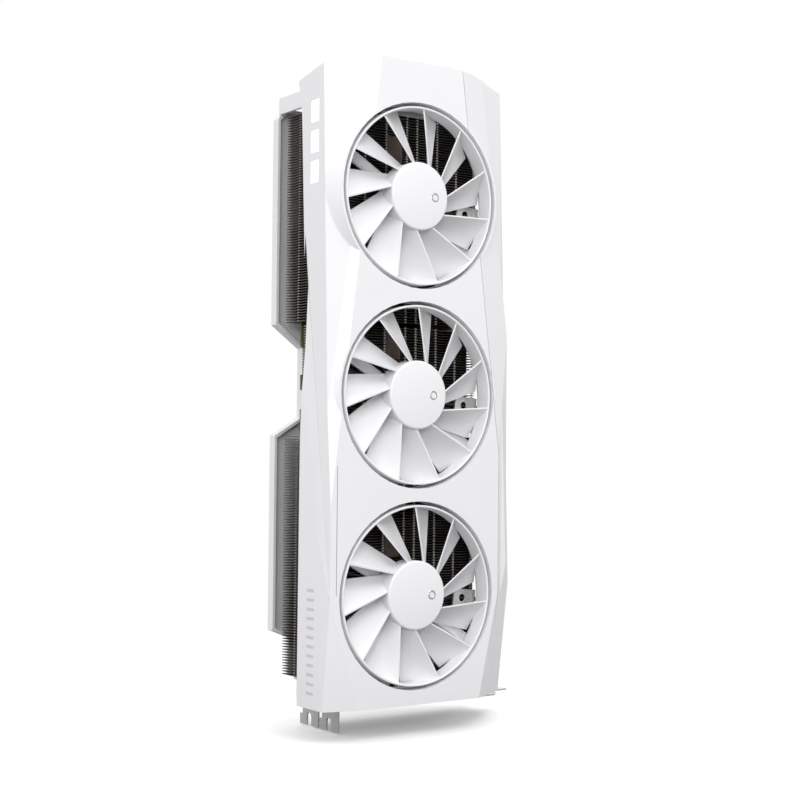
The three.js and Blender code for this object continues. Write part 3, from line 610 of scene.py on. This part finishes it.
# ---------------------------------------------------------------- cooler
FIN_PITCH = 1.5
FIN_THICK = 0.4
FIN_LEFT_X, FIN_RIGHT_X = -47.5, 53
FIN_FRONT_Y, FIN_BACK_Y = -44, -10.4
WRAP = (-39.5, -0.5)                       # left of this X the end stacks reach back to this Y
SHALLOW = (-20, -19)                       # left of this X the middle stack stops at this Y
STACKS = {"fin_stack_bracket_end": (17.7, 150.6), "fin_stack_middle": (153.2, 211),
          "fin_stack_tail": (213.6, 329.5)}
FOLD_XS = (-37.5, -24.5, -10.5, 3.5, 10.5, 24.5, 38.0, 50.5)


def make_fins():
    """Each stack's fins, the folded tabs that lock each fin to the next, coloured light as a painted
    highlight, and thin strips of brighter metal along the fin edges as a painted highlight.
    """
    for node, (z0, z1) in STACKS.items():
        middle = node == "fin_stack_middle"
        corner_x, corner_y = SHALLOW if middle else WRAP
        outline = [(FIN_LEFT_X, FIN_FRONT_Y), (FIN_RIGHT_X, FIN_FRONT_Y), (FIN_RIGHT_X, FIN_BACK_Y),
                   (corner_x, FIN_BACK_Y), (corner_x, corner_y), (FIN_LEFT_X, corner_y)]
        fins, highlight_folds, edges = Shape(), Shape(), Shape()
        z = z0
        while z + FIN_THICK <= z1:
            top = z + FIN_THICK
            high = min(z1, z + FIN_PITCH)
            fins.plate(outline, z, top)
            # the folded tabs get the light metal as a painted highlight
            for x in FOLD_XS:
                highlight_folds.box(x, x + 1.1, -44.06, -43.7, z + 0.1, z + 1.0)
            for y in (-30.6, -21.8) if middle else (-30.6, -14.2):
                highlight_folds.box(-47.52, -47.2, y, y + 1.3, z + 0.1, z + 0.7)
            # painted highlight: strips of brighter metal along each fin's front and left edges
            edges.box(-47.4, FIN_RIGHT_X, -44.04, -43.9, z, top)
            edges.box(-47.55, -47.42, -43.8, corner_y, z, top)
            # folded walls between the fins, at the back and near the right end
            fins.box(corner_x, FIN_RIGHT_X, -10.7, FIN_BACK_Y, z, high)
            fins.box(52.2, 52.5, -37 if middle else FIN_FRONT_Y, FIN_BACK_Y, z, high)
            # painted highlight: a strip of brighter metal along each fin's right end
            edges.box(52.95, 53.03, -43.8, -10.6, z, top)
            z += FIN_PITCH
        build(node + "_fins", fins, FIN, slot="fin_dark", replaces=[node], outward=False)
        build(node + "_folds", highlight_folds, FIN_FOLD_PAINTED_HIGHLIGHT, slot="fin_dark", outward=False)
        build(node + "_edge_highlights", edges, FIN_EDGE_PAINTED_HIGHLIGHT, slot="fin_dark", outward=False)


def make_fin_patches():
    """A flat strip soldered across the fins above each fan's hub."""
    for n, z in FAN_Z.items():
        strip = Shape().box(-9, 0.5, -44.25, -43.95, z + 20, z + 35)
        build(f"fin_patch_{n}", strip, FIN_PATCH, bevel=0.1, slot="fin_dark")


PIPE_START = (-9, 5, 19, 33)               # each pipe's X over the chip
PIPE_END = (-14, 6, 27, 48)                # and at the tail
PIPE_Y = -7.9


def make_cooler():
    for n, (start, end) in enumerate(zip(PIPE_START, PIPE_END), 1):
        course = ((start, 27), (start, 80), (start, 130), (end, 225), (end, 322))
        path = smooth_path([(x, PIPE_Y, z) for x, z in course], 14)
        pipe = Shape()
        pipe.tube(path, 3.95, sides=28, flat=0.52)
        build(f"heat_pipe_{n}_finished", pipe, PIPE, bevel=0.5, segments=3, slot="pipe_copper",
              replaces=[f"heat_pipe_{n}"])
    refine("cold_plate", NICKEL, "nickel", bevel=0.3)


# ---------------------------------------------------------------- circuit board
def round_can(shape, x, z, radius, height):
    """A capacitor standing on the board's component side."""
    profile = [(0, -0.05), (radius, -0.05), (radius, -0.9), (radius - 0.25, -1.15), (radius, -1.4),
               (radius, -height + 0.35), (radius - 0.35, -height), (0, -height)]
    shape.lathe(profile, (x, 0, z), sides=28)


def make_board():
    refine("circuit_board", BOARD, "board_green", bevel=0.12)
    refine("graphics_chip", CHIP, "chip_black", bevel=0.2)
    for n in (1, 2, 3, 4):
        refine(f"memory_chip_{n}", CHIP, "chip_black", bevel=0.15)
    contacts = Shape()
    for n in range(82):
        z = 46.1 + n * 1.03
        if 56.3 < z < 59.4:                # the key notch
            continue
        for y0, y1 in ((-0.05, 0.02), (1.58, 1.65)):
            contacts.box(74.6, 79.1, y0, y1, z, z + 0.7)
    build("edge_contacts", contacts, GOLD, slot="board_green")
    chokes = Shape()
    spots = [(-27, z) for z in range(24, 76, 8)] + [(57.5, z) for z in range(58, 140, 9)]
    spots += [(57.5, z) for z in range(160, 240, 9)] + [(-27, z) for z in range(208, 258, 8)]
    for x, z in spots:
        chokes.box(x - 3.1, x + 3.1, -4.4, -0.1, z - 3.1, z + 3.1)
    build("board_chokes", chokes, CHOKE, bevel=0.5, slot="chip_black")
    cans = Shape()
    for z in list(range(28, 44, 7)) + list(range(64, 142, 8)) + list(range(164, 238, 8)):
        round_can(cans, 67.6, z, 2.9, 5.4)
    build("board_capacitors", cans, CAN, slot="nickel")
    # small parts strewn over both faces of the board, kept off the graphics chip and the sockets
    small = Shape()
    behind = Shape()
    rng = random.Random(7)
    for _ in range(260):
        x, z = rng.uniform(-33, 50), rng.uniform(20, 256)
        if -20 < x < 47 and 60 < z < 130 or -34 < x < -18 and (66 < z < 118 or 156 < z < 203):
            continue
        w, h, t = rng.choice(((1.0, 0.5, 0.5), (1.6, 0.8, 0.7), (2.0, 1.2, 0.8), (3.2, 2.4, 0.9)))
        small.box(x, x + w, -t, -0.02, z, z + h)
    for _ in range(150):
        x, z = rng.uniform(-30, 62), rng.uniform(22, 256)
        if -22 < x < 50 and 58 < z < 132 or -34 < x < -18 and 156 < z < 203:
            continue
        behind.box(x, x + 1.6, 1.62, 2.3, z, z + 0.8)
    build("board_small_parts", small, CHIP, bevel=0.08, slot="chip_black")
    build("board_back_parts", behind, CAN, bevel=0.08, slot="nickel")
    extra = Shape()
    for x in (-5, 14, 33):
        extra.box(x - 7, x + 7, -1.2, -0.05, 131, 143)
    build("memory_chips_extra", extra, CHIP, bevel=0.15, slot="chip_black")


def make_sockets():
    """Two eight-way sockets with square pins."""
    pin_pitch, pin_half = 4.2, 0.56
    pins = Shape()
    for n, z0 in ((1, 161.2), (2, 180.7)):
        refine(f"power_socket_{n}", SOCKET, "socket_black", bevel=0.12)
        for row in (-0.5, 0.5):
            for column in (-1.5, -0.5, 0.5, 1.5):
                y = -6.0 + row * pin_pitch
                z = z0 + 9.45 + column * pin_pitch
                pins.box(-31.2, -23.5, y - pin_half, y + pin_half, z - pin_half, z + pin_half)
    build("power_socket_pins", pins, GOLD, bevel=0.2, slot="nickel")


# ---------------------------------------------------------------- bracket, backplate, clamp
# each port's middle X and width
PORTS = {"hdmi_port": (-13.5, 15.2), "displayport_1": (13, 16.6), "displayport_2": (34, 16.6),
         "displayport_3": (55, 16.6)}


def make_ports():
    tongues = Shape()
    contacts = Shape()
    for name, (x, wide) in PORTS.items():
        refine(name, PORT, "port_steel", bevel=0.15)
        half = wide / 2 - 2.1
        tongues.box(x - half, x + half, -4.82, -3.58, 1.35, 14)
        steps = int(half * 2 / 0.9)
        for n in range(steps):
            u = x - half + 0.45 + n * 0.9
            contacts.box(u, u + 0.4, -4.9, -3.5, 2.0, 10)
    build("port_tongues", tongues, SOCKET, bevel=0.15, slot="socket_black")
    build("port_contacts", contacts, GOLD, slot="port_steel")


def screw_head(r, h):
    """The profile of a pan head with radius r and height h."""
    return [(0, -0.02), (r - 0.15, -0.02), (r, 0.12), (r, h * 0.45), (r * 0.93, h * 0.72),
            (r * 0.74, h * 0.92), (r * 0.45, h), (0, h)]


def make_screw(node, x, y, z, radius, height, shank, length, turn):
    """A pan-head screw with a cross recess, its head towards +Y."""
    head = mesh_of("screw", Shape().lathe(screw_head(radius, height), (x, y, z), sides=40), outward=True)
    reach, half = radius * 0.62, 0.33
    low, high = y + height * 0.3, y + height + 1
    spin = Matrix.Translation((x, 0, z)) @ Matrix.Rotation(turn, 4, "Y")
    for arm_x, arm_z in ((reach, half), (half, reach)):
        head = cut(head, Shape().box(-arm_x, arm_x, low, high, -arm_z, arm_z, turn=spin))
    place(node + "_head", head, SCREW, slot="screw_steel", smooth=35)
    profile = [(0, -0.01)]
    steps = int(length / 0.25)
    for k in range(steps):
        profile.append((shank - (0.14 if k % 2 else 0), -0.01 - k * length / steps))
    profile += [(shank * 0.7, -length), (0, -length)]
    thread = Shape().lathe(profile, (x, y, z), sides=24)
    build(node + "_thread", thread, SCREW, slot="screw_steel", replaces=[node])


def make_bracket():
    refine("io_bracket", BRACKET, "bracket_steel", bevel=0.18)
    for n, x in ((1, -6), (2, 62)):
        make_screw(f"bracket_screw_{n}", x, 2.6, 8, radius=2.8, height=1.4, shank=1.3, length=2.2,
                   turn=0.4 * n)


BACKPLATE_SCREWS = ((-26, 20), (56, 20), (-26, 148), (56, 148), (-26, 254), (56, 254))
# the X and Z of each rib's two ends
BACKPLATE_RIBS = ((-44, 56, -2, 128), (-36, 52, 6, 124), (30, 126, 52, 244), (38, 122, 60, 240),
                  (-10, 160, 8, 258), (-2, 156, 16, 254))
RIB_HALF = 1.3


def make_backplate():
    refine("backplate", WHITE, "shell_white", bevel=0.45)
    # long slanting ribs pressed into the plate
    ribs = Shape()
    for x0, z0, x1, z1 in BACKPLATE_RIBS:
        along = Vector((x1 - x0, 0, z1 - z0))
        side = Vector((along.z, 0, -along.x)).normalized() * RIB_HALF
        a, b = Vector((x0, 0, z0)), Vector((x1, 0, z1))
        ribs.prism([(p.x, p.z) for p in (a - side, b - side, b + side, a + side)], 7.9, 8.8)
    build("backplate_ribs", ribs, WHITE, bevel=0.2, slot="shell_white")
    for n, (x, z) in enumerate(BACKPLATE_SCREWS, 1):
        make_screw(f"backplate_screw_{n}", x, 8.0, z, radius=2.9, height=1.4, shank=1.4, length=6,
                   turn=0.5 * n)


CHIP_X, CHIP_Z = 14, 95
CLAMP_REACH = 25                           # from the chip's middle to each clamp screw, along X and Z


def make_clamp():
    refine("chip_clamp", BLACK_STEEL, "steel_black", bevel=0.25)
    for n, (sx, sz) in enumerate(((-1, -1), (1, -1), (1, 1), (-1, 1)), 1):
        x, z = CHIP_X + CLAMP_REACH * sx, CHIP_Z + CLAMP_REACH * sz
        make_screw(f"clamp_screw_{n}", x, 4.0, z, radius=2.8, height=1.8, shank=1.3, length=8, turn=0.7 * n)


make_shroud()
for number in (1, 2, 3):
    make_rotor(number)
    make_motor(number)
    make_fan_lead(number)
make_fins()
make_fin_patches()
make_cooler()
make_board()
make_sockets()
make_ports()
make_bracket()
make_backplate()
make_clamp()
refine("tail_bracket", WHITE, "shell_white", bevel=0.4)


# ---------------------------------------------------------------- studio
FLOOR_Z = -12.2
FLOOR_R = 1500
FLOOR_SIDES = 96
FLOOR_FADE = (0.1, 0.42)                   # radii in metres where the floor starts to fade and is gone
# name, place, aim, size and watts
LIGHTS = (
    ("key", (0.05, -0.8, 1.0), (0, 0, 0.3), 0.6, 3.7),
    ("left", (-1.25, -0.9, 0.55), (0, 0, 0.2), 0.7, 3.1),
    ("side", (-1.1, -0.16, 0.24), (-0.05, 0, 0.18), 0.5, 0.8),
    ("fill", (-0.8, -1.0, 0.42), (-0.05, 0, 0.22), 0.3, 2.3),
    ("back", (0.9, 1.2, 1.0), (0, 0, 0.18), 0.9, 3),
)
CAMERA_AT = (-0.4894, -0.7380, 0.1422)
CAMERA_YAW, CAMERA_PITCH, CAMERA_ROLL = 35.232, 1.917, 0.521
CAMERA_LENS = 68.86


def make_floor():
    """A round pale floor just under the card."""
    rim = []
    for n in range(FLOOR_SIDES):
        a = 2 * math.pi * n / FLOOR_SIDES
        rim.append((FLOOR_R * math.cos(a), FLOOR_R * math.sin(a), FLOOR_Z))
    shape = Shape().add([(0, 0, FLOOR_Z)] + rim,
                        [(0, n + 1, (n + 1) % FLOOR_SIDES + 1) for n in range(FLOOR_SIDES)])
    floor = bpy.data.objects.new("floor", mesh_of("floor", shape))
    bpy.context.scene.collection.objects.link(floor)
    material, tree, bsdf = new_material("pale_floor")
    tone = ramp(tree, noise(tree, 3), [(0.3, (0.84, 0.84, 0.84)), (0.7, (0.86, 0.86, 0.86))])
    tree.links.new(tone, bsdf.inputs["Base Color"])
    bsdf.inputs["Roughness"].default_value = 0.9
    bsdf.inputs["Specular IOR Level"].default_value = 0.1
    bsdf.inputs["Emission Color"].default_value = (1, 1, 1, 1)
    bsdf.inputs["Emission Strength"].default_value = 0.2
    # it throws back less light than it shows
    dim = add_node(tree, "ShaderNodeBsdfDiffuse", Roughness=0.5)
    dim.inputs["Color"].default_value = (0.3, 0.3, 0.3, 1)
    path = add_node(tree, "ShaderNodeLightPath")
    paper = add_node(tree, "ShaderNodeMixShader")
    tree.links.new(path.outputs["Is Camera Ray"], paper.inputs["Fac"])
    tree.links.new(dim.outputs["BSDF"], paper.inputs[1])
    tree.links.new(bsdf.outputs["BSDF"], paper.inputs[2])
    # the floor fades out towards its rim and isn't seen from below
    coords = add_node(tree, "ShaderNodeTexCoord")
    length = add_node(tree, "ShaderNodeVectorMath", operation="LENGTH")
    tree.links.new(coords.outputs["Object"], length.inputs[0])
    fade = add_node(tree, "ShaderNodeMapRange", From_Min=FLOOR_FADE[0], From_Max=FLOOR_FADE[1],
                    To_Min=0.0, To_Max=1.0)
    tree.links.new(length.outputs["Value"], fade.inputs["Value"])
    geometry = add_node(tree, "ShaderNodeNewGeometry")
    most = add_node(tree, "ShaderNodeMath", operation="MAXIMUM")
    tree.links.new(fade.outputs["Result"], most.inputs[0])
    tree.links.new(geometry.outputs["Backfacing"], most.inputs[1])
    clear = add_node(tree, "ShaderNodeBsdfTransparent")
    mixed = add_node(tree, "ShaderNodeMixShader")
    tree.links.new(most.outputs[0], mixed.inputs["Fac"])
    tree.links.new(paper.outputs["Shader"], mixed.inputs[1])
    tree.links.new(clear.outputs["BSDF"], mixed.inputs[2])
    tree.links.new(mixed.outputs["Shader"], tree.nodes["Material Output"].inputs["Surface"])
    floor.data.materials.append(material)


def area_light(name, place_at, aim, size, watts):
    data = bpy.data.lights.new(name, "AREA")
    data.shape = "DISK"
    data.size = size
    data.energy = watts
    light = bpy.data.objects.new(name, data)
    light.location = place_at
    light.rotation_euler = (Vector(aim) - Vector(place_at)).to_track_quat("-Z", "Y").to_euler()
    bpy.context.scene.collection.objects.link(light)


def make_studio():
    """The world's light, five area lights and the view transform."""
    world = bpy.data.worlds.new("studio")
    bpy.context.scene.world = world
    world.use_nodes = True
    tree = world.node_tree
    # the studio is brighter overhead than around the floor, and plain white where the camera sees it
    coords = add_node(tree, "ShaderNodeTexCoord")
    parts = add_node(tree, "ShaderNodeSeparateXYZ")
    tree.links.new(coords.outputs["Generated"], parts.inputs["Vector"])
    height = add_node(tree, "ShaderNodeMapRange", From_Min=-0.4, From_Max=0.9, To_Min=0.0, To_Max=1.0)
    tree.links.new(parts.outputs["Z"], height.inputs["Value"])
    sky = ramp(tree, height.outputs["Result"], [(0.0, (0.34, 0.34, 0.347)), (1.0, (1.18, 1.18, 1.20))])
    tree.links.new(sky, tree.nodes["Background"].inputs["Color"])
    seen = add_node(tree, "ShaderNodeBackground", Strength=1.0)
    seen.inputs["Color"].default_value = (1, 1, 1, 1)
    path = add_node(tree, "ShaderNodeLightPath")
    mixed = add_node(tree, "ShaderNodeMixShader")
    tree.links.new(path.outputs["Is Camera Ray"], mixed.inputs["Fac"])
    tree.links.new(tree.nodes["Background"].outputs[0], mixed.inputs[1])
    tree.links.new(seen.outputs[0], mixed.inputs[2])
    tree.links.new(mixed.outputs[0], tree.nodes["World Output"].inputs["Surface"])
    for light in LIGHTS:
        area_light(*light)
    bpy.context.scene.view_settings.view_transform = "Standard"


def make_camera():
    """Looks along yaw, from +Y towards +X, and pitch, upwards, rolled about the line of sight."""
    yaw, pitch, roll = (math.radians(a) for a in (CAMERA_YAW, CAMERA_PITCH, CAMERA_ROLL))
    ahead = Vector((math.sin(yaw) * math.cos(pitch), math.cos(yaw) * math.cos(pitch), math.sin(pitch)))
    level = Vector((math.cos(yaw), -math.sin(yaw), 0))
    upright = level.cross(ahead)
    right = level * math.cos(roll) + upright * math.sin(roll)
    up = upright * math.cos(roll) - level * math.sin(roll)
    data = bpy.data.cameras.new("camera")
    data.lens = CAMERA_LENS
    data.sensor_width = 36
    data.clip_start = 0.01
    camera = bpy.data.objects.new("camera", data)
    turn = Matrix((right, up, -ahead)).transposed().to_4x4()
    camera.matrix_world = Matrix.Translation(CAMERA_AT) @ turn
    bpy.context.scene.collection.objects.link(camera)
    bpy.context.scene.camera = camera


make_floor()
make_studio()
make_camera()

bpy.context.view_layer.update()
